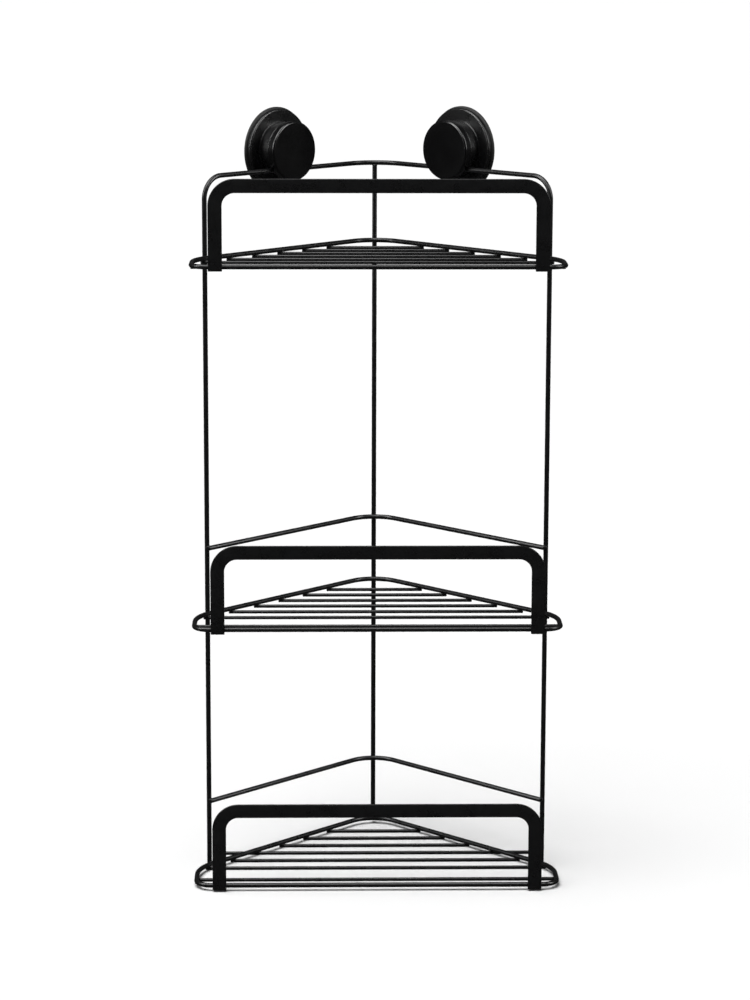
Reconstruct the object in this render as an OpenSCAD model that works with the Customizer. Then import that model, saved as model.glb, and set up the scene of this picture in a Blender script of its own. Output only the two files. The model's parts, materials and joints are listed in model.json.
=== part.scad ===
// Three-tier corner shower caddy of bent steel wire, with flat strap guards and
// two twist-lock suction cups that slide along the top rail.
// X runs from left to right, Y from the room into the corner, and Z up.
// The origin is the middle of the footprint, at the height the caddy stands on.

/* [Frame] */
// Diameter of the frame and rim wire with its coating
wire_d = 3.9; // [3.2:0.1:4.2]
// Distance between the centre lines of the two side uprights
frame_w = 274; // [262:2:280]
// Height of the top rail above the rim of the top shelf
top_rail_rise = 64; // [58:1:90]
// Height of the two V-shaped back rails above their own shelves
back_rail_rise = 54; // [40:1:80]
// Bend radius where each side upright turns into the top rail
upright_bend_r = 18; // [12:1:24]
// Length of each back rail past the upright that it is welded to
back_rail_overhang = 1.5; // [1:0.1:4]

/* [Shelves] */
// Width of a shelf between the centre lines of its rim
shelf_w = 292; // [288:1:310]
// Depth from the front of the rim to the sharp point of its back corner
shelf_depth = 191; // [186:1:200]
// Height from the bottom shelf to the middle shelf
lower_tier_h = 212; // [160:1:300]
// Height from the middle shelf to the top shelf
upper_tier_h = 289; // [200:1:340]
// Bend radius of the rim's back corner
back_corner_r = 25; // [18:1:30]
// Bend radius where a side of the rim meets its slanted back
side_corner_r = 40; // [30:1:44]
// Bend radius of the rim's two front corners
front_corner_r = 13; // [8:1:16]

/* [Grid wires] */
// Diameter of the grid wires
grid_d = 2.8; // [2:0.1:3]
// Distance from one grid wire to the next
grid_pitch = 20; // [18:0.5:20]
// Distance from the sharp back corner to the rearmost grid wire
grid_start = 37; // [34:1:40]
// Distance of the foremost grid wire from the front of the rim
grid_front_gap = 24; // [20:1:28]
// Length of a grid wire past the centre line of the rim
grid_overhang = 3.2; // [2.8:0.1:4]
// Distance from the frame wire to the wall end of the bottom shelf's spacer wire
spacer_reach = 19.5; // [14:0.5:20]

/* [Guards] */
// Width of the flat strap
strap_w = 11; // [8:0.1:13]
// Thickness of the flat strap
strap_t = 2; // [1.5:0.1:3]
// Outside width of a guard
guard_w = 265; // [240:1:265]
// Height of a guard's top edge above the rim wire
guard_rise = 68.5; // [50:0.5:90]
// Length of a guard's legs below the centre of the rim wire
guard_drop = 3.2; // [2:0.1:4]
// Inside radius of a guard's bends
guard_bend_r = 10; // [6:1:20]

/* [Suction cups] */
// Distance of the left cup from the corner of the top rail
left_cup_at = 101; // [50:1:150]
// Distance of the right cup from the corner of the top rail
right_cup_at = 86; // [50:1:150]
// Height of the cup's axis above the top rail
cup_rise = 15; // [14.5:0.5:17]
// Radius of the rubber pad
pad_r = 34.5; // [34:0.5:38]
// Radius of the housing's disc
disc_r = 33; // [31:0.5:33]
// Radius of the housing's collar
collar_r = 23; // [22:0.5:24]
// Radius of the knob
knob_r = 24; // [23:0.5:26]
// Radius of the threaded stud
stud_r = 4; // [3.5:0.1:4.2]
// Pitch of the coarse thread, which is the stud's travel in one turn
thread_pitch = 3; // [2:0.1:3]

/* [Hidden] */
$fn = 96;

coat = "#161617";
plastic = "#101012";
rubber = "#1b1b1b";

// Depth that one wire sinks into another at a spot weld
weld = 0.16;
strap_weld = 0.1;
root2 = sqrt(2);

// Plan of a shelf. A corner of radius r cuts corner_cut(r) off a sharp right angle.
function corner_cut(r) = r * (root2 - 1);
frame_offset = wire_d - weld;
front_reach = wire_d / 2 - strap_weld + strap_t;
back_reach = shelf_depth - corner_cut(back_corner_r) + frame_offset + wire_d / 2;
front_y = (front_reach - back_reach) / 2;
rim_apex_y = front_y + shelf_depth;
frame_apex_y = rim_apex_y + frame_offset * root2;
upright_x = frame_w / 2;
upright_y = frame_apex_y - upright_x;

// Heights of the rims and rails
bottom_z = grid_d - weld + wire_d / 2;
middle_z = bottom_z + lower_tier_h;
top_z = middle_z + upper_tier_h;
rail_z = top_z + top_rail_rise;

// The cup's parts are drawn with their axis along +Z, from the wall at 0 towards
// the room, and with the rail running along X below the axis.
wall_gap = 15.5;
pad_t = 3;
pad_dish = 1.2;
pad_lip_w = 4;
disc_t = 3.2;
disc_front = pad_t + disc_t;
disc_skin = 2;
collar_front = wall_gap + 0.9;
collar_skin = 2.4;
step_h = 0.8;
slot_clear = 0.15;
slot_floor = wall_gap - wire_d / 2 - slot_clear;
slot_w = wire_d + 0.2;
knob_back = wall_gap + wire_d / 2 + slot_clear;
knob_t = 6;
knob_front = knob_back + knob_t;
knob_skin = 1.8;
hub_r = 8;
hub_back = 12.5;
nut_hex_r = 6.8;
nut_back = 9.5;
nut_t = 11;
run_clear = 0.06;
flange_r = 13;
flange_t = 2;
guide_r = 14.2;
key_r = 15.4;
key_w = 4;
guide_front = 11;
stud_end = knob_front - knob_skin - thread_pitch - 0.5;
washer_r = 12;
key_clear = 0.2;
// Extra length of a cutting shape
over = 1;

// The bottom shelf's fourth wire runs on to the walls and spaces the caddy off them.
spacer_wire = 4;
spacer_run = (frame_offset + spacer_reach) * root2;
wires_per_shelf = 7;

// Length of straight wire that a bend takes on each side of its sharp corner
function bend_len(r, turn) = r * tan(turn / 2);

// Straight wire from a to b
module rod(a, b, d) {
    v = b - a;
    translate(a)
        rotate([0, acos(v.z / norm(v)), atan2(v.y, v.x)])
            cylinder(h = norm(v), d = d);
}

// Wire drawn from the origin along +X. Each step is [run, turn, bend radius, roll]:
// a straight run, then a bend to the left, then a roll about the wire's own line.
// The straight runs are a hair thinner, so that each bend ends in a definite edge.
hair = 0.004;
module bent_wire(steps, d, i = 0) {
    run = steps[i][0];
    turn = steps[i][1];
    r = steps[i][2];
    roll = steps[i][3];
    rotate([0, 90, 0]) cylinder(h = run, d = d - hair);
    translate([run, r, 0]) {
        rotate(-90)
            rotate_extrude(angle = turn)
                translate([r, 0]) circle(d = d);
        if (i + 1 < len(steps))
            rotate(turn)
                translate([0, -r, 0])
                    rotate([roll, 0, 0])
                        bent_wire(steps, d, i + 1);
    }
}

// Trims the children at the plane X = 0 and adds their mirror image. Wires bend a
// little past that plane, so that both halves meet in it.
past_middle = 50;
module both_halves() {
    far = 1000;
    for (side = [0, 1])
        mirror([side, 0, 0])
            difference() {
                children();
                translate([-far, -far, -far]) cube([far, 2 * far, 2 * far]);
            }
}

module outer_frame_wire() {
    foot_z = bottom_z - wire_d / 2;
    corner_r = back_corner_r + frame_offset;
    color(coat)
        both_halves()
            translate([upright_x, upright_y, foot_z])
                rotate([0, -90, 45])
                    bent_wire([
                        [rail_z - foot_z - upright_bend_r, 90, upright_bend_r, 90],
                        [upright_x * root2 - upright_bend_r - corner_r, past_middle, corner_r, 0]
                    ], wire_d);
}

module centre_upright() {
    y = rim_apex_y - corner_cut(back_corner_r) + frame_offset;
    foot_z = bottom_z - wire_d / 2;
    color(coat)
        rod([0, y, foot_z], [0, y, rail_z - wire_d / 2 + weld], wire_d);
}

// V-shaped rail along the inner side of the uprights
module back_rail(z) {
    half = upright_x - frame_offset / root2 + back_rail_overhang;
    color(coat)
        both_halves()
            translate([half, rim_apex_y - half, z])
                rotate(135)
                    bent_wire([
                        [half * root2 - back_corner_r, past_middle, back_corner_r, 0]
                    ], wire_d);
}

module shelf_rim(z) {
    half = shelf_w / 2;
    front_bend = bend_len(front_corner_r, 90);
    side_bend = bend_len(side_corner_r, 45);
    color(coat)
        translate([0, front_y, z])
            both_halves()
                bent_wire([
                    [half - front_bend, 90, front_corner_r, 0],
                    [shelf_depth - half - front_bend - side_bend, 45, side_corner_r, 0],
                    [half * root2 - side_bend - back_corner_r, past_middle, back_corner_r, 0]
                ], wire_d);
}

// Grid wire number i of a shelf, counted from the back. The last one is set close
// behind the front of the rim and ends under the rim's sides.
module grid_wire(z, i, reach = 0) {
    front = i == wires_per_shelf;
    front_overhang = 1;
    back_gap = grid_start + grid_pitch * (i - 1);
    y = front ? front_y + grid_front_gap : rim_apex_y - back_gap;
    half = front ? shelf_w / 2 + front_overhang : back_gap + max(grid_overhang, reach);
    wire_z = z - wire_d / 2 - grid_d / 2 + weld;
    color(coat)
        rod([-half, y, wire_z], [half, y, wire_z], grid_d);
}

// Outline of a flat arch, with rounded upper corners
module arch(w, h, r) {
    translate([-w / 2, 0]) square([w, h - r]);
    translate([r - w / 2, 0]) square([w - 2 * r, h]);
    for (side = [-1, 1])
        translate([side * (w / 2 - r), h - r]) circle(r);
}

// Flat strap bent edgewise into an arch and welded to the front of a rim
module guard(z) {
    h = guard_rise + guard_drop;
    color(coat)
        translate([0, front_y - wire_d / 2 + strap_weld, z - guard_drop])
            rotate([90, 0, 0])
                linear_extrude(strap_t)
                    difference() {
                        arch(guard_w, h, guard_bend_r + strap_w);
                        translate([0, -over])
                            arch(guard_w - 2 * strap_w, h - strap_w + over, guard_bend_r);
                    }
}

// Places a cup: at is the distance along the rail from its corner
module on_rail(side, at) {
    run = at / root2;
    out = wall_gap / root2;
    translate([side * (run + out), frame_apex_y - run + out, rail_z + cup_rise])
        rotate([90, 0, -side * 45])
            children();
}

// Half profile of a disc with its rim rounded on top
module half_disc(r, h, edge) {
    square([r - edge, h]);
    square([r, h - edge]);
    translate([r - edge, h - edge]) circle(edge, $fn = 48);
}

// Soft rubber disc with a shallow hollow on the wall side
module suction_pad() {
    back_edge = 0.9;
    color(rubber)
        rotate_extrude()
            polygon([
                [0, pad_dish],
                [pad_r - 3 * pad_lip_w, pad_dish],
                [pad_r - pad_lip_w, 0],
                [pad_r - back_edge / 2, 0],
                [pad_r, back_edge / 2],
                [pad_r, 2 * back_edge],
                [disc_r - 0.5, pad_t],
                [0, pad_t]
            ]);
}

// Stud with a bonding flange, two anti-turn keys and rings of thread
module stud() {
    groove_depth = 0.5;
    groove_root = 0.2;
    groove_mouth = 0.7;
    first_groove = pad_t + flange_t + thread_pitch / 2;
    color("#b9bcbf") {
        difference() {
            translate([0, 0, pad_t]) cylinder(h = stud_end - pad_t, r = stud_r);
            for (z = [first_groove : thread_pitch / 2 : stud_end - 1])
                translate([0, 0, z])
                    rotate_extrude()
                        polygon([
                            [stud_r - groove_depth, -groove_root],
                            [stud_r + groove_depth, -groove_mouth],
                            [stud_r + groove_depth, groove_mouth],
                            [stud_r - groove_depth, groove_root]
                        ]);
        }
        translate([0, 0, pad_t]) {
            cylinder(h = flange_t, r = flange_r);
            translate([-key_r, -key_w / 2, 0])
                cube([2 * key_r, key_w, flange_t]);
        }
    }
}

// Disc and collar in one moulding: hollow behind, with a guide for the stud's keys
// and a slot across the collar's front face that the rail lies in.
module cup_housing() {
    disc_edge = 1.2;
    rim_w = 3;
    step_w = 0.6;
    step_edge = 0.5;
    collar_edge = 0.7;
    guide_t = 2.4;
    saddle_h = 9;
    saddle_back = slot_floor - 2;
    color(plastic)
        difference() {
            union() {
                difference() {
                    union() {
                        translate([0, 0, pad_t])
                            rotate_extrude() half_disc(disc_r, disc_t, disc_edge);
                        translate([0, 0, disc_front - step_edge])
                            rotate_extrude()
                                half_disc(collar_r + step_w, step_h + step_edge, step_edge);
                        translate([0, 0, disc_front])
                            rotate_extrude()
                                half_disc(collar_r, collar_front - disc_front, collar_edge);
                    }
                    translate([0, 0, pad_t - over])
                        cylinder(h = disc_t - disc_skin + over, r = disc_r - rim_w);
                    translate([0, 0, pad_t])
                        cylinder(h = collar_front - collar_skin - pad_t, r = collar_r - collar_skin);
                }
                translate([0, 0, disc_front - disc_skin])
                    cylinder(h = disc_skin, r = collar_r - 1);
                translate([0, 0, disc_front - disc_skin])
                    cylinder(h = guide_front - disc_front + disc_skin, r = key_r + guide_t);
                intersection() {
                    translate([-collar_r, -cup_rise - saddle_h / 2, saddle_back])
                        cube([2 * collar_r, saddle_h, collar_front - saddle_back]);
                    cylinder(h = collar_front, r = collar_r - 1);
                }
            }
            translate([0, 0, pad_t]) cylinder(h = guide_front - pad_t + 1, r = guide_r);
            translate([-key_r - key_clear, -key_w / 2 - key_clear, pad_t])
                cube([
                    2 * (key_r + key_clear),
                    key_w + 2 * key_clear,
                    guide_front - pad_t - 1
                ]);
            cylinder(h = collar_front + over, r = hub_r + run_clear);
            translate([-disc_r, -cup_rise - slot_w / 2, slot_floor])
                cube([2 * disc_r, slot_w, collar_front - slot_floor + over]);
        }
}

// Sliding washer between the collar and the knob
module washer() {
    play = 0.1;
    washer_t = knob_back - collar_front - play;
    color("#d9d6cf")
        translate([0, 0, collar_front])
            difference() {
                cylinder(h = washer_t, r = washer_r);
                translate([0, 0, -over])
                    cylinder(h = washer_t + 2 * over, r = hub_r + run_clear);
            }
}

// Knob with a closed face, ribbed behind, and a hub that turns in the collar
module knob() {
    wall = 2.4;
    edge = 1.5;
    rib_t = 1.4;
    ribs = 8;
    color(plastic)
        difference() {
            union() {
                translate([0, 0, knob_back])
                    rotate_extrude()
                        difference() {
                            half_disc(knob_r, knob_t, edge);
                            translate([0, -over])
                                square([knob_r - wall, knob_t - knob_skin + over]);
                        }
                for (i = [0 : ribs - 1])
                    rotate(i * 360 / ribs)
                        translate([hub_r - 1, -rib_t / 2, knob_back])
                            cube([knob_r - wall - hub_r + 2, rib_t, knob_t - 1]);
                translate([0, 0, hub_back])
                    cylinder(h = knob_front - 1 - hub_back, r = hub_r);
            }
            translate([0, 0, hub_back - over])
                cylinder(h = knob_front - knob_skin - hub_back + over, r = nut_hex_r, $fn = 6);
        }
}

// Hexagonal threaded insert, pressed into the knob's hub
module knob_nut() {
    color("#b08d3c")
        translate([0, 0, nut_back])
            difference() {
                cylinder(h = nut_t, r = nut_hex_r, $fn = 6);
                translate([0, 0, -over])
                    cylinder(h = nut_t + 2 * over, r = stud_r + run_clear);
            }
}

outer_frame_wire();
centre_upright();
back_rail(middle_z + back_rail_rise);  // middle_back_rail
back_rail(bottom_z + back_rail_rise);  // lower_back_rail

shelf_rim(top_z);  // top_shelf_rim
shelf_rim(middle_z);  // middle_shelf_rim
shelf_rim(bottom_z);  // bottom_shelf_rim

for (i = [1 : wires_per_shelf]) {
    grid_wire(top_z, i);
    grid_wire(middle_z, i);
    grid_wire(bottom_z, i, i == spacer_wire ? spacer_run : 0);
}

guard(top_z);  // top_guard
guard(middle_z);  // middle_guard
guard(bottom_z);  // bottom_guard

on_rail(-1, left_cup_at) suction_pad();  // left_suction_pad
on_rail(-1, left_cup_at) stud();  // left_stud
on_rail(-1, left_cup_at) cup_housing();  // left_cup_housing
on_rail(-1, left_cup_at) washer();  // left_washer
on_rail(-1, left_cup_at) knob();  // left_knob
on_rail(-1, left_cup_at) knob_nut();  // left_knob_nut

on_rail(1, right_cup_at) suction_pad();  // right_suction_pad
on_rail(1, right_cup_at) stud();  // right_stud
on_rail(1, right_cup_at) cup_housing();  // right_cup_housing
on_rail(1, right_cup_at) washer();  // right_washer
on_rail(1, right_cup_at) knob();  // right_knob
on_rail(1, right_cup_at) knob_nut();  // right_knob_nut
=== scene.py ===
import json
import math

import bmesh
import bpy
from mathutils import Matrix, Vector
from mathutils.bvhtree import BVHTree


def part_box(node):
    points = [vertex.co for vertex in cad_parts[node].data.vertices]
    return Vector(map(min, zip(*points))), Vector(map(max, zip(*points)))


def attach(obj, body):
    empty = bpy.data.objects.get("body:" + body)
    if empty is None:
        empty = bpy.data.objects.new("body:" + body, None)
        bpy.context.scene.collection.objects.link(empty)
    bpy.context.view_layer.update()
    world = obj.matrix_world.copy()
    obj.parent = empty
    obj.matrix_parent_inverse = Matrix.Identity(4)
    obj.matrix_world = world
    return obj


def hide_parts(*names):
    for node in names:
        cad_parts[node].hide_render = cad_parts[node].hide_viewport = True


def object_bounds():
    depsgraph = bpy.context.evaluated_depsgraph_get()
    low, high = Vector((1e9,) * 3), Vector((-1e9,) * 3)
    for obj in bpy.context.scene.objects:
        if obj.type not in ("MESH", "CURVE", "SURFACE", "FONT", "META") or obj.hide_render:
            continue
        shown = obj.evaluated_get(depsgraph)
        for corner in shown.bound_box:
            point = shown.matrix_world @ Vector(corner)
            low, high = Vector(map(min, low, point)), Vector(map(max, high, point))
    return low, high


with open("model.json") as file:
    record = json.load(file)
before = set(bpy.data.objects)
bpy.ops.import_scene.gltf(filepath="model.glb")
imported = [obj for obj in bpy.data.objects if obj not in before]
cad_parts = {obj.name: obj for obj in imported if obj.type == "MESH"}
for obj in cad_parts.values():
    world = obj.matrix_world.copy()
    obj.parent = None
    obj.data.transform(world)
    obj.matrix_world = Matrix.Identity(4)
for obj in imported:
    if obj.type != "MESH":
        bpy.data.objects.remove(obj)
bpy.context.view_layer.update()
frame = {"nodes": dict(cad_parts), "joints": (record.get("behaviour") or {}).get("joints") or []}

mm = 0.001
nodes = frame["nodes"]
joints = {joint["name"]: joint for joint in frame["joints"]}
print("frame loaded:", len(nodes), "nodes")


# sRGB hex to linear, with alpha
def toLinear(hexColour):
    channels = [int(hexColour[i:i + 2], 16) / 255 for i in (1, 3, 5)]
    return [c / 12.92 if c <= 0.04045 else ((c + 0.055) / 1.055) ** 2.4 for c in channels] + [1.0]


# One node with its settings and inputs, which are values or sockets to link
def addNode(tree, kind, inputs=None, **settings):
    node = tree.nodes.new(kind)
    for name, value in settings.items():
        setattr(node, name, value)
    for key, value in (inputs or {}).items():
        if isinstance(value, bpy.types.NodeSocket):
            tree.links.new(value, node.inputs[key])
        else:
            node.inputs[key].default_value = value
    return node


def newMaterial(name):
    material = bpy.data.materials.new(name)
    material.use_nodes = True
    material.node_tree.nodes.clear()
    return material, material.node_tree


def finishMaterial(tree, shader):
    addNode(tree, "ShaderNodeOutputMaterial", {"Surface": shader.outputs["BSDF"]})


def linkObject(name, mesh):
    piece = bpy.data.objects.new(name, mesh)
    bpy.context.scene.collection.objects.link(piece)
    return piece


# Polyester powder coat, sprayed on and baked: satin black with a fine orange peel,
# so a highlight along a wire is narrow, but a little broken.
powderCoat = dict(
    colour="#101011",
    gloss=0.34,                 # specular level: pigment and matting agent dull the film
    roughness=(0.25, 0.34),     # smoothest and roughest patches
    patchSize=9 * mm,
    peelSize=0.9 * mm,          # orange peel, drawn about twice as coarse as it is so that it shows
    peelDepth=0.012 * mm,
    grainSize=0.22 * mm,
    grainDepth=0.003 * mm,
)

# ABS, injection moulded in a spark-eroded tool: an even, very fine grain.
mouldedAbs = dict(
    colour="#0a0a0b",
    gloss=0.4,
    roughness=(0.25, 0.31),
    patchSize=14 * mm,
    peelSize=0.35 * mm,
    peelDepth=0.006 * mm,
    grainSize=0.16 * mm,
    grainDepth=0.003 * mm,
)

# ABS from a polished tool: smoother and darker.
polishedAbs = dict(
    colour="#050506",
    gloss=0.4,
    roughness=(0.2, 0.24),
    patchSize=24 * mm,
    peelSize=1.1 * mm,
    peelDepth=0.0006 * mm,
    grainSize=0.3 * mm,
    grainDepth=0.0004 * mm,
)

# Thermoplastic rubber, moulded: matt, with a soft bloom in patches.
softRubber = dict(
    colour="#121212",
    gloss=0.3,
    roughness=(0.50, 0.66),
    patchSize=7 * mm,
    peelSize=0.5 * mm,
    peelDepth=0.01 * mm,
    grainSize=0.2 * mm,
    grainDepth=0.004 * mm,
)

# Natural nylon, moulded: milky and slightly soft in its gloss.
naturalNylon = dict(
    colour="#dcd8cd",
    gloss=0.5,
    roughness=(0.42, 0.5),
    patchSize=6 * mm,
    peelSize=0.8 * mm,
    peelDepth=0.004 * mm,
    grainSize=0.3 * mm,
    grainDepth=0.001 * mm,
)


def moulded(name, spec):
    material, tree = newMaterial(name)
    place = addNode(tree, "ShaderNodeTexCoord").outputs["Object"]
    patches = addNode(tree, "ShaderNodeTexNoise", {
        "Vector": place, "Scale": 1 / spec["patchSize"], "Detail": 3.0, "Roughness": 0.55})
    roughness = addNode(tree, "ShaderNodeMapRange", {
        "Value": patches.outputs["Fac"], "From Min": 0.3, "From Max": 0.7,
        "To Min": spec["roughness"][0], "To Max": spec["roughness"][1]})
    base = toLinear(spec["colour"])
    tone = addNode(tree, "ShaderNodeValToRGB", {"Fac": patches.outputs["Fac"]})
    tone.color_ramp.elements[0].position = 0.3
    tone.color_ramp.elements[0].color = [c * 0.86 for c in base[:3]] + [1]
    tone.color_ramp.elements[1].position = 0.7
    tone.color_ramp.elements[1].color = [min(1, c * 1.14) for c in base[:3]] + [1]
    peel = addNode(tree, "ShaderNodeTexNoise", {
        "Vector": place, "Scale": 1 / spec["peelSize"], "Detail": 1.0, "Roughness": 0.4})
    grain = addNode(tree, "ShaderNodeTexNoise", {
        "Vector": place, "Scale": 1 / spec["grainSize"], "Detail": 0.0})
    peelBump = addNode(tree, "ShaderNodeBump", {
        "Height": peel.outputs["Fac"], "Distance": spec["peelDepth"] * 8, "Strength": 0.6})
    grainBump = addNode(tree, "ShaderNodeBump", {
        "Height": grain.outputs["Fac"], "Distance": spec["grainDepth"] * 8, "Strength": 0.5,
        "Normal": peelBump.outputs["Normal"]})
    shader = addNode(tree, "ShaderNodeBsdfPrincipled", {
        "Base Color": tone.outputs["Color"], "Roughness": roughness.outputs["Result"],
        "IOR": 1.5, "Specular IOR Level": spec["gloss"], "Normal": grainBump.outputs["Normal"]})
    finishMaterial(tree, shader)
    return material


# Turned metal: fine rings round the axis of the part, which runs through middle along axis.
def turnedMetal(name, colour, roughness, middle, axis, ringPitch):
    material, tree = newMaterial(name)
    place = addNode(tree, "ShaderNodeTexCoord").outputs["Object"]
    toPart = addNode(tree, "ShaderNodeMapping", {
        "Vector": place, "Location": middle,
        "Rotation": Vector((0, 0, 1)).rotation_difference(Vector(axis)).to_euler()},
        vector_type="TEXTURE")
    rings = addNode(tree, "ShaderNodeTexWave", {
        "Vector": toPart.outputs["Vector"], "Scale": 0.314 / ringPitch, "Distortion": 0.6,
        "Detail": 1.0}, bands_direction="Z")
    bump = addNode(tree, "ShaderNodeBump", {
        "Height": rings.outputs["Fac"], "Distance": 0.02 * mm, "Strength": 0.5})
    spread = addNode(tree, "ShaderNodeMapRange", {
        "Value": rings.outputs["Fac"], "To Min": roughness - 0.06, "To Max": roughness + 0.06})
    shader = addNode(tree, "ShaderNodeBsdfPrincipled", {
        "Base Color": toLinear(colour), "Metallic": 1.0,
        "Roughness": spread.outputs["Result"], "Normal": bump.outputs["Normal"]})
    finishMaterial(tree, shader)
    return material


coat = moulded("black_satin_powder_coat", powderCoat)
housingFinish = moulded("spark_eroded_black_abs", mouldedAbs)
knobFinish = moulded("smooth_black_abs", polishedAbs)
rubberFinish = moulded("black_tpr_rubber", softRubber)
nylonFinish = moulded("natural_nylon", naturalNylon)
print("finishes made")


def newTree(name, sizes):
    tree = bpy.data.node_groups.new(name, "GeometryNodeTree")
    tree.interface.new_socket("Geometry", in_out="INPUT", socket_type="NodeSocketGeometry")
    for label, kind in sizes:
        tree.interface.new_socket(label, in_out="INPUT", socket_type=kind)
    tree.interface.new_socket("Geometry", in_out="OUTPUT", socket_type="NodeSocketGeometry")
    return tree, tree.nodes.new("NodeGroupInput").outputs


def endTree(tree, geometry, material):
    solid = addNode(tree, "GeometryNodeRealizeInstances", {"Geometry": geometry})
    smooth = addNode(tree, "GeometryNodeSetShadeSmooth", {"Geometry": solid.outputs["Geometry"]})
    painted = addNode(tree, "GeometryNodeSetMaterial", {
        "Geometry": smooth.outputs["Geometry"], "Material": material})
    addNode(tree, "NodeGroupOutput", {"Geometry": painted.outputs["Geometry"]})


# Runs a tree on a seed mesh and returns the result as a plain mesh object. edge is
# the radius to which the coat rounds its cut ends.
def grow(name, seed, tree, values, edge=0, keepSharp=40):
    holder = linkObject(name + "_seed", seed)
    modifier = holder.modifiers.new("grow", "NODES")
    modifier.node_group = tree
    for item in tree.interface.items_tree:
        if item.in_out == "INPUT" and item.name in values:
            modifier[item.identifier] = values[item.name]
    if edge:
        rounding = holder.modifiers.new("round", "BEVEL")
        rounding.width = edge
        rounding.segments = 4
        rounding.limit_method = "ANGLE"
        rounding.angle_limit = math.radians(60)
        rounding.use_clamp_overlap = True
    graph = bpy.context.evaluated_depsgraph_get()
    mesh = bpy.data.meshes.new_from_object(holder.evaluated_get(graph))
    bpy.data.objects.remove(holder)
    bpy.data.meshes.remove(seed)
    mesh.name = name
    mesh.shade_smooth()
    mesh.set_sharp_from_angle(angle=math.radians(keepSharp))
    return linkObject(name, mesh)


# A polyline as a seed: points, the bend radius at each, and whether it closes.
def pathSeed(points, bends, closed=False):
    count = len(points)
    edges = [(i, (i + 1) % count) for i in range(count if closed else count - 1)]
    seed = bpy.data.meshes.new("path")
    seed.from_pydata(points, edges, [])
    seed.attributes.new("bend", "FLOAT", "POINT").data.foreach_set("value", bends)
    return seed


# Round wire: the path's corners are bent to their own radii and a circle is swept along it.
def makeWireTree():
    tree, given = newTree("bentWire", [
        ("Wire diameter", "NodeSocketFloat"), ("Facets in a bend", "NodeSocketInt"),
        ("Facets round the wire", "NodeSocketInt"), ("Coat", "NodeSocketMaterial")])
    line = addNode(tree, "GeometryNodeMeshToCurve", {"Mesh": given["Geometry"]})
    bend = addNode(tree, "GeometryNodeInputNamedAttribute", {"Name": "bend"}, data_type="FLOAT")
    bent = addNode(tree, "GeometryNodeFilletCurve", {
        "Curve": line.outputs["Curve"], "Radius": bend.outputs["Attribute"],
        "Count": given["Facets in a bend"]}, mode="POLY")
    radius = addNode(tree, "ShaderNodeMath", {0: given["Wire diameter"], 1: 0.5},
                     operation="MULTIPLY")
    ring = addNode(tree, "GeometryNodeCurvePrimitiveCircle", {
        "Resolution": given["Facets round the wire"], "Radius": radius.outputs[0]})
    swept = addNode(tree, "GeometryNodeCurveToMesh", {
        "Curve": bent.outputs["Curve"], "Profile Curve": ring.outputs["Curve"],
        "Fill Caps": True})
    endTree(tree, swept.outputs["Mesh"], given["Coat"])
    return tree


# Flat strap, bent edgewise: the same, with a rounded oblong swept along the path.
def makeStrapTree():
    tree, given = newTree("flatStrap", [
        ("Strap width", "NodeSocketFloat"), ("Strap thickness", "NodeSocketFloat"),
        ("Edge radius", "NodeSocketFloat"), ("Facets in a bend", "NodeSocketInt"),
        ("Coat", "NodeSocketMaterial")])
    line = addNode(tree, "GeometryNodeMeshToCurve", {"Mesh": given["Geometry"]})
    bend = addNode(tree, "GeometryNodeInputNamedAttribute", {"Name": "bend"}, data_type="FLOAT")
    bent = addNode(tree, "GeometryNodeFilletCurve", {
        "Curve": line.outputs["Curve"], "Radius": bend.outputs["Attribute"],
        "Count": given["Facets in a bend"]}, mode="POLY")
    upright = addNode(tree, "GeometryNodeSetCurveNormal", {
        "Curve": bent.outputs["Curve"], "Normal": (0, 1, 0)}, mode="FREE")
    oblong = addNode(tree, "GeometryNodeCurvePrimitiveQuadrilateral", {
        "Width": given["Strap thickness"], "Height": given["Strap width"]})
    rounded = addNode(tree, "GeometryNodeFilletCurve", {
        "Curve": oblong.outputs["Curve"], "Radius": given["Edge radius"], "Count": 4},
        mode="POLY")
    swept = addNode(tree, "GeometryNodeCurveToMesh", {
        "Curve": upright.outputs["Curve"], "Profile Curve": rounded.outputs["Curve"],
        "Fill Caps": True})
    endTree(tree, swept.outputs["Mesh"], given["Coat"])
    return tree


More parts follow.
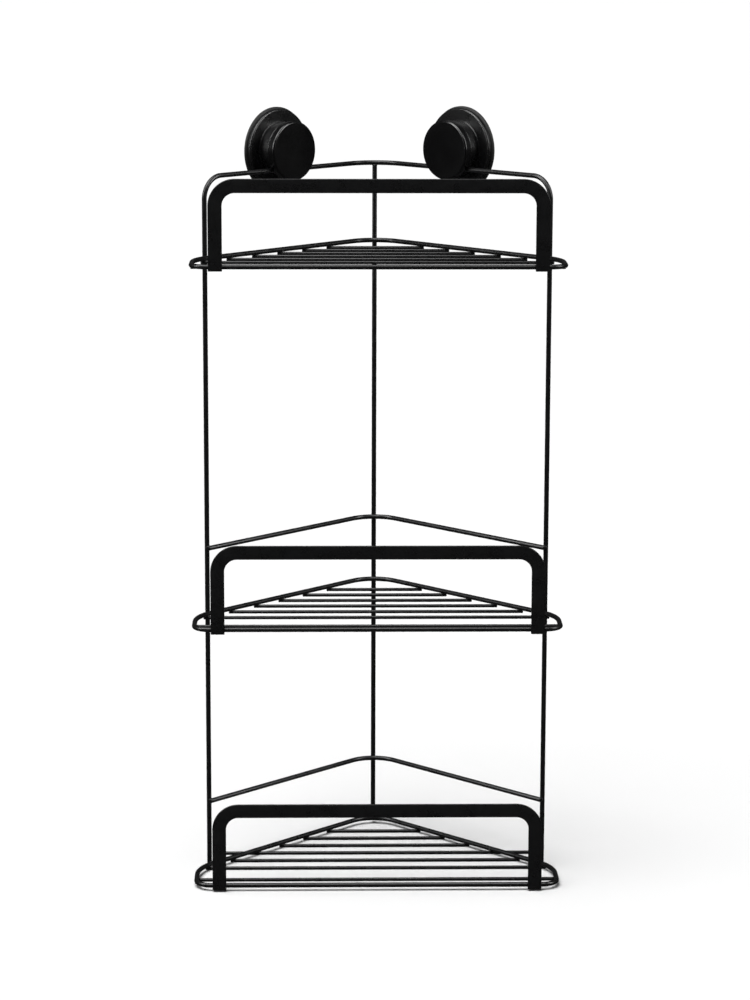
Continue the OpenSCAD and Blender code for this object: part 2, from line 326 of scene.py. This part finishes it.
# Weld beads: one lump at each seed point, turned to its own two directions and
# roughened a little, with the coat over it.
def makeBeadTree():
    tree, given = newTree("weldBeads", [
        ("Unevenness", "NodeSocketFloat"), ("Lump size", "NodeSocketFloat"),
        ("Random seed", "NodeSocketInt"), ("Coat", "NodeSocketMaterial")])
    size = addNode(tree, "GeometryNodeInputNamedAttribute", {"Name": "size"},
                   data_type="FLOAT_VECTOR")
    along = addNode(tree, "GeometryNodeInputNamedAttribute", {"Name": "along"},
                    data_type="FLOAT_VECTOR")
    outward = addNode(tree, "GeometryNodeInputNamedAttribute", {"Name": "outward"},
                      data_type="FLOAT_VECTOR")
    turned = addNode(tree, "FunctionNodeAxesToRotation", {
        "Primary Axis": along.outputs["Attribute"],
        "Secondary Axis": outward.outputs["Attribute"]},
        primary_axis="X", secondary_axis="Z")
    vary = addNode(tree, "FunctionNodeRandomValue", {
        2: 0.88, 3: 1.12, "Seed": given["Random seed"]}, data_type="FLOAT")
    scaled = addNode(tree, "ShaderNodeVectorMath", {
        0: size.outputs["Attribute"], "Scale": vary.outputs[1]}, operation="SCALE")
    lump = addNode(tree, "GeometryNodeMeshIcoSphere", {"Radius": 1.0, "Subdivisions": 3})
    placed = addNode(tree, "GeometryNodeInstanceOnPoints", {
        "Points": given["Geometry"], "Instance": lump.outputs["Mesh"],
        "Rotation": turned.outputs["Rotation"], "Scale": scaled.outputs["Vector"]})
    solid = addNode(tree, "GeometryNodeRealizeInstances", {
        "Geometry": placed.outputs["Instances"]})
    density = addNode(tree, "ShaderNodeMath", {0: 1.0, 1: given["Lump size"]},
                      operation="DIVIDE")
    noise = addNode(tree, "ShaderNodeTexNoise", {"Scale": density.outputs[0], "Detail": 1.0})
    centred = addNode(tree, "ShaderNodeVectorMath", {
        0: noise.outputs["Color"], 1: (0.5, 0.5, 0.5)}, operation="SUBTRACT")
    shift = addNode(tree, "ShaderNodeVectorMath", {
        0: centred.outputs["Vector"], "Scale": given["Unevenness"]}, operation="SCALE")
    rough = addNode(tree, "GeometryNodeSetPosition", {
        "Geometry": solid.outputs["Geometry"], "Offset": shift.outputs["Vector"]})
    endTree(tree, rough.outputs["Geometry"], given["Coat"])
    return tree


wireTree = makeWireTree()
strapTree = makeStrapTree()
beadTree = makeBeadTree()
print("geometry node trees built")


def boxOf(name):
    low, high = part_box(name)
    return low, high, (low + high) / 2


def asWire(name, points, bends, spec, closed=False):
    diameter = spec["diameter"]
    piece = grow(name + "_coated", pathSeed(points, bends, closed), wireTree, {
        "Wire diameter": diameter, "Facets in a bend": spec["bendFacets"],
        "Facets round the wire": spec["roundFacets"], "Coat": coat},
        edge=0 if closed else spec["endRounding"])
    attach(piece, "frame")
    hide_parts(name)
    return piece


frameWire = dict(
    diameter=3.9 * mm,
    endRounding=0.7 * mm,     # how far the coat rounds a cut end
    topBend=18 * mm,          # upright into top rail
    cornerBend=28.74 * mm,     # top rail round the corner
    railBend=25 * mm,         # back rails round the corner
    bendFacets=16,
    roundFacets=28,
)

rimWire = dict(
    diameter=3.9 * mm,
    endRounding=0,
    frontBend=13 * mm,
    sideBend=40 * mm,
    backBend=25 * mm,
    bendFacets=14,
    roundFacets=28,
)

gridWire = dict(
    diameter=2.8 * mm,
    endRounding=0.5 * mm,
    bendFacets=1,
    roundFacets=20,
)

# Sharp corner of a right-angled bend, from the place of the bend's own middle
cornerCut = math.sqrt(2) - 1
wireR = frameWire["diameter"] / 2

low, high, _ = boxOf("outer_frame_wire")
frameX = high.x - wireR
frameY = low.y + wireR
railZ = high.z - wireR
frameApexY = frameY + frameX
asWire("outer_frame_wire", [
    (-frameX, frameY, low.z), (-frameX, frameY, railZ), (0, frameApexY, railZ),
    (frameX, frameY, railZ), (frameX, frameY, low.z)],
    [0, frameWire["topBend"], frameWire["cornerBend"], frameWire["topBend"], 0], frameWire)

low, high, middle = boxOf("centre_upright")
centreY = middle.y
asWire("centre_upright", [(0, centreY, low.z), (0, centreY, high.z)], [0, 0], frameWire)

backRailZ = {}
for name in ("middle_back_rail", "lower_back_rail"):
    low, high, middle = boxOf(name)
    apexY = high.y - wireR + frameWire["railBend"] * cornerCut
    reach = high.x - wireR / math.sqrt(2)       # the cut end is square to the 45 degree run
    backRailZ[name] = middle.z
    asWire(name, [(-reach, apexY - reach, middle.z), (0, apexY, middle.z),
                  (reach, apexY - reach, middle.z)], [0, frameWire["railBend"], 0], frameWire)

shelves = ("top", "middle", "bottom")
rimZ = {}
for shelf in shelves:
    name = shelf + "_shelf_rim"
    low, high, middle = boxOf(name)
    halfW = high.x - wireR
    frontY = low.y + wireR
    apexY = high.y - wireR + rimWire["backBend"] * cornerCut
    rimZ[shelf] = middle.z
    asWire(name, [
        (0, frontY, middle.z), (halfW, frontY, middle.z), (halfW, apexY - halfW, middle.z),
        (0, apexY, middle.z), (-halfW, apexY - halfW, middle.z), (-halfW, frontY, middle.z)],
        [0, rimWire["frontBend"], rimWire["sideBend"], rimWire["backBend"],
         rimWire["sideBend"], rimWire["frontBend"]], rimWire, closed=True)
    for i in range(1, 8):
        name = f"{shelf}_grid_wire_{i}"
        low, high, middle = boxOf(name)
        asWire(name, [(low.x, middle.y, middle.z), (high.x, middle.y, middle.z)], [0, 0],
               gridWire)
print("wires drawn")


guardStrap = dict(
    width=11 * mm,
    thickness=2.0 * mm,
    edgeRadius=0.45 * mm,     # sheared edge, rounded off by the coat
    innerBend=10 * mm,
    bendFacets=20,
)
strapHalf = guardStrap["width"] / 2
for shelf in shelves:
    name = shelf + "_guard"
    low, high, middle = boxOf(name)
    left, right, top = low.x + strapHalf, high.x - strapHalf, high.z - strapHalf
    bend = guardStrap["innerBend"] + strapHalf
    guard = grow(name + "_strap", pathSeed([
        (left, middle.y, low.z), (left, middle.y, top), (right, middle.y, top),
        (right, middle.y, low.z)], [0, bend, bend, 0]), strapTree, {
        "Strap width": guardStrap["width"], "Strap thickness": guardStrap["thickness"],
        "Edge radius": guardStrap["edgeRadius"], "Facets in a bend": guardStrap["bendFacets"],
        "Coat": coat}, edge=0.35 * mm)
    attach(guard, "frame")
    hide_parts(name)
print("guards drawn")


weldBeads = dict(
    spot=(1.6 * mm, 1.5 * mm, 1.1 * mm),        # grid wire under a rim: along, across, high
    cross=(2.1 * mm, 1.7 * mm, 1.3 * mm),       # frame wire beside a rim or rail
    butt=(2.2 * mm, 1.7 * mm, 1.0 * mm),       # head of the centre upright
    seam=(3.6 * mm, 1.0 * mm, 0.9 * mm),        # strap on the front of a rim, above and below
    wireSink=0.1 * mm,                          # how deep a bead's middle is in the wire
    strapSink=0.35 * mm,                        # how far behind the strap a seam's middle is
    seamLift=1.25 * mm,                         # above and below the rim's middle
    buttShift=0.35 * mm,                        # towards the shelf, clear of the wall side
    unevenness=0.55 * mm,
    lumpSize=1.6 * mm,
    randomSeed=7,
)


def crossingX(rim, y, z):
    # middle of the rim's wire where a grid wire passes under it, on the right
    mesh = bmesh.new()
    mesh.from_mesh(rim.data)
    tree = BVHTree.FromBMesh(mesh)
    outer = tree.ray_cast(Vector((1, y, z)), Vector((-1, 0, 0)))[0]
    inner = tree.ray_cast(Vector((0, y, z)), Vector((1, 0, 0)))[0]
    mesh.free()
    return (outer.x + inner.x) / 2


beadPlaces = []     # point, along, outward, size
diagonal = {side: Vector((-side, 1, 0)).normalized() for side in (-1, 1)}
inward = {side: Vector((-side, -1, 0)).normalized() for side in (-1, 1)}
up = Vector((0, 0, 1))
for shelf in shelves:
    rim = nodes[shelf + "_shelf_rim"]
    contactZ = rimZ[shelf] - wireR
    for i in range(1, 8):
        y = boxOf(f"{shelf}_grid_wire_{i}")[2].y
        x = crossingX(rim, y, rimZ[shelf])
        for side in (-1, 1):
            beadPlaces.append(((side * x, y, contactZ), Vector((1, 0, 0)), up, weldBeads["spot"]))
heights = list(rimZ.values()) + list(backRailZ.values())
for side in (-1, 1):
    at = Vector((side * frameX, frameY, 0)) + inward[side] * (wireR - weldBeads["wireSink"])
    for z in heights:
        beadPlaces.append(((at.x, at.y, z), diagonal[side], inward[side], weldBeads["cross"]))
for z in heights:
    beadPlaces.append(((0, centreY - wireR + weldBeads["wireSink"], z), Vector((1, 0, 0)),
                       Vector((0, -1, 0)), weldBeads["cross"]))
beadPlaces.append(((0, centreY - weldBeads["buttShift"], railZ - wireR), Vector((1, 0, 0)), up,
                   weldBeads["butt"]))
for shelf in shelves:
    low, high, middle = boxOf(shelf + "_guard")
    for side in (-1, 1):
        for lift in (-1, 1):
            place = (side * (high.x - strapHalf), high.y + weldBeads["strapSink"],
                     rimZ[shelf] + lift * weldBeads["seamLift"])
            beadPlaces.append((place, Vector((1, 0, 0)), Vector((0, 1, lift * 0.6)).normalized(),
                               weldBeads["seam"]))

seed = bpy.data.meshes.new("beadPlaces")
seed.from_pydata([bead[0] for bead in beadPlaces], [], [])
for label, column in (("along", 1), ("outward", 2), ("size", 3)):
    values = [c for bead in beadPlaces for c in bead[column]]
    seed.attributes.new(label, "FLOAT_VECTOR", "POINT").data.foreach_set("vector", values)
beads = grow("weld_beads", seed, beadTree, {
    "Unevenness": weldBeads["unevenness"], "Lump size": weldBeads["lumpSize"],
    "Random seed": weldBeads["randomSeed"], "Coat": coat})
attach(beads, "frame")
print("welds made:", len(beadPlaces))


suctionPad = dict(
    # (radius, height from the wall) in mm: the wall side from the middle out, round the lip,
    # and back over the front
    wallSide=[(0, 1.2), (8, 1.2), (16, 1.18), (20, 1.1), (22.5, 1.0)],
    lip=[(30.5, 0.0), (33.6, 0.0), (34.15, 0.12), (34.45, 0.45), (34.5, 0.9), (34.5, 1.8),
         (34.35, 2.1), (33.6, 2.55), (32.5, 2.9), (31.0, 2.98)],
    front=[(20, 3.0), (0, 3.0)],
    slopeStart=22.5,          # from here the wall side falls towards the lip
    slopeWidth=8.0,
    slopeFall=1.0,
    slopeEase=0.12,
    ridges=3,                 # moulded rings near the lip that help it grip
    ridgeHeight=0.12,
    facets=128,
)


# Closed profile in (radius, height) pairs, spun round the height axis
def spinProfile(name, profile, facets, place):
    mesh = bmesh.new()
    rings = []
    for radius, height in profile:
        if radius == 0:
            rings.append([mesh.verts.new((0, 0, height * mm))])
            continue
        rings.append([mesh.verts.new((
            radius * mm * math.cos(2 * math.pi * k / facets),
            radius * mm * math.sin(2 * math.pi * k / facets), height * mm))
            for k in range(facets)])
    for first, second in zip(rings, rings[1:]):
        for k in range(facets):
            n = (k + 1) % facets
            if len(first) == 1:
                mesh.faces.new((first[0], second[n], second[k]))
            elif len(second) == 1:
                mesh.faces.new((first[k], first[n], second[0]))
            else:
                mesh.faces.new((first[k], first[n], second[n], second[k]))
    mesh.transform(place)
    bmesh.ops.recalc_face_normals(mesh, faces=mesh.faces)
    data = bpy.data.meshes.new(name)
    mesh.to_mesh(data)
    mesh.free()
    data.shade_smooth()
    data.set_sharp_from_angle(angle=math.radians(50))
    return linkObject(name, data)


# The cup's own axes in the frame: out of the wall is +Z, and the rail runs along X
def cupPlace(side):
    joint = joints[side + "_knob_turn"]
    out = -Vector(joint["axis"]).normalized()
    across = Vector((0, 0, 1)).cross(out)
    turn = Matrix((across, Vector((0, 0, 1)), out)).transposed().to_4x4()
    return Matrix.Translation(joint["pos_m"]) @ turn


for side in ("left", "right"):
    place = cupPlace(side)
    out = place.to_3x3() @ Vector((0, 0, 1))
    steps = 12 * suctionPad["ridges"]
    slope = []
    for k in range(1, steps):
        t = k / steps
        wave = suctionPad["ridgeHeight"] * 0.5 * (
            1 - math.cos(2 * math.pi * suctionPad["ridges"] * t))
        height = suctionPad["slopeFall"] * (1 - t) - wave * (1 - t * 0.5) + suctionPad[
            "slopeEase"] * (1 - t)
        slope.append((
            suctionPad["slopeStart"] + suctionPad["slopeWidth"] * t, max(0.0, height)))
    profile = suctionPad["wallSide"] + slope + suctionPad["lip"] + suctionPad["front"]
    pad = spinProfile(side + "_pad_rubber", profile, suctionPad["facets"], place)
    pad.data.materials.append(rubberFinish)
    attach(pad, side + "_cup")
    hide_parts(side + "_suction_pad")

    middle = place.translation
    steel = turnedMetal(side + "_zinc_plated_steel", "#b9bbbd", 0.32, middle, out, 0.35 * mm)
    brass = turnedMetal(side + "_machined_brass", "#c9a45c", 0.28, middle, out, 0.4 * mm)
    for node, finish in (("cup_housing", housingFinish), ("knob", knobFinish), ("stud", steel),
                         ("washer", nylonFinish), ("knob_nut", brass)):
        part = nodes[side + "_" + node]
        part.data.materials.clear()
        part.data.materials.append(finish)
print("suction cups finished")


studio = dict(
    floorColour="#f1f1f1",
    backgroundColour="#ffffff",
    roomLevel=0.045,          # what the black surfaces reflect from the dark room
    backgroundLevel=1.0,
    sunSpread=50,             # degrees
    sunTilt=(12, -14),        # degrees, about X and Y
    floorReach=60,            # metres from the middle to its edge
    daylight=3.78,             # even light from above, which keeps the floor pale to its far edge
)
camera = dict(
    eye=(-49.5 * mm, -2484.7 * mm, 804.4 * mm),
    yaw=0.0196,               # radians, to the right
    pitch=0.1991,             # radians, down
    roll=0.0028,
    focal=74.5,               # mm, on a picture 24 mm high
)

low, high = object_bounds()
floorMesh = bpy.data.meshes.new("floor")
reach = studio["floorReach"]
floorMesh.from_pydata(
    [(-reach, -reach, 0), (reach, -reach, 0), (reach, reach, 0), (-reach, reach, 0)],
    [], [(0, 1, 2, 3)])
floor = linkObject("floor", floorMesh)
floor.location.z = low.z
floorPaint, tree = newMaterial("matt_white_floor")
finishMaterial(tree, addNode(tree, "ShaderNodeBsdfPrincipled", {
    "Base Color": toLinear(studio["floorColour"]), "Roughness": 0.9,
    "Specular IOR Level": 0.1}))
floorMesh.materials.append(floorPaint)
floor.visible_glossy = False        # so that the black coat stays black, as over a dark table edge

world = bpy.data.worlds.new("studio")
bpy.context.scene.world = world
world.use_nodes = True
tree = world.node_tree
tree.nodes.clear()
room = addNode(tree, "ShaderNodeBackground", {
    "Color": toLinear("#ffffff"), "Strength": studio["roomLevel"]})
backdrop = addNode(tree, "ShaderNodeBackground", {
    "Color": toLinear(studio["backgroundColour"]), "Strength": studio["backgroundLevel"]})
seen = addNode(tree, "ShaderNodeLightPath")
mix = addNode(tree, "ShaderNodeMixShader", {
    0: seen.outputs["Is Camera Ray"], 1: room.outputs["Background"],
    2: backdrop.outputs["Background"]})
addNode(tree, "ShaderNodeOutputWorld", {"Surface": mix.outputs["Shader"]})

lamps = [   # name, place, aimed at, width, height, watts
    ("leftSoftbox", (-2.4, -0.8, 1.9), (0, 0, 0.4), 0.8, 2.3, 76),
    ("rightSoftbox", (2.4, -0.8, 1.9), (0, 0, 0.4), 0.8, 2.3, 76),
    ("frontStrip", (0, -2.0, 2.7), (0, 0, 0.4), 2.2, 0.35, 22),
]
for name, spot, aim, width, height, watts in lamps:
    lamp = bpy.data.lights.new(name, "AREA")
    lamp.shape = "RECTANGLE"
    lamp.size = width
    lamp.size_y = height
    lamp.energy = watts
    holder = bpy.data.objects.new(name, lamp)
    bpy.context.scene.collection.objects.link(holder)
    holder.location = spot
    holder.rotation_euler = (Vector(spot) - Vector(aim)).to_track_quat("Z", "Y").to_euler()
    holder.visible_diffuse = False      # shows only in the gloss, so that the floor stays even

sun = bpy.data.lights.new("daylight", "SUN")
sun.energy = studio["daylight"]
sun.angle = math.radians(studio["sunSpread"])
holder = bpy.data.objects.new("daylight", sun)
bpy.context.scene.collection.objects.link(holder)
holder.rotation_euler = (
    math.radians(studio["sunTilt"][0]), math.radians(studio["sunTilt"][1]), 0)

lens = bpy.data.cameras.new("camera")
lens.sensor_fit = "VERTICAL"
lens.sensor_height = 24
lens.lens = camera["focal"]
lens.clip_end = 200
eye = bpy.data.objects.new("camera", lens)
bpy.context.scene.collection.objects.link(eye)
forward = Vector((
    math.sin(camera["yaw"]) * math.cos(camera["pitch"]),
    math.cos(camera["yaw"]) * math.cos(camera["pitch"]), -math.sin(camera["pitch"])))
level = Vector((math.cos(camera["yaw"]), -math.sin(camera["yaw"]), 0))
upward = level.cross(forward)
right = level * math.cos(camera["roll"]) + upward * math.sin(camera["roll"])
upward = upward * math.cos(camera["roll"]) - level * math.sin(camera["roll"])
eye.matrix_world = Matrix.Translation(camera["eye"]) @ Matrix(
    (right, upward, -forward)).transposed().to_4x4()
bpy.context.scene.camera = eye
bpy.context.scene.view_settings.view_transform = "Standard"
print("floor, lights and camera set")
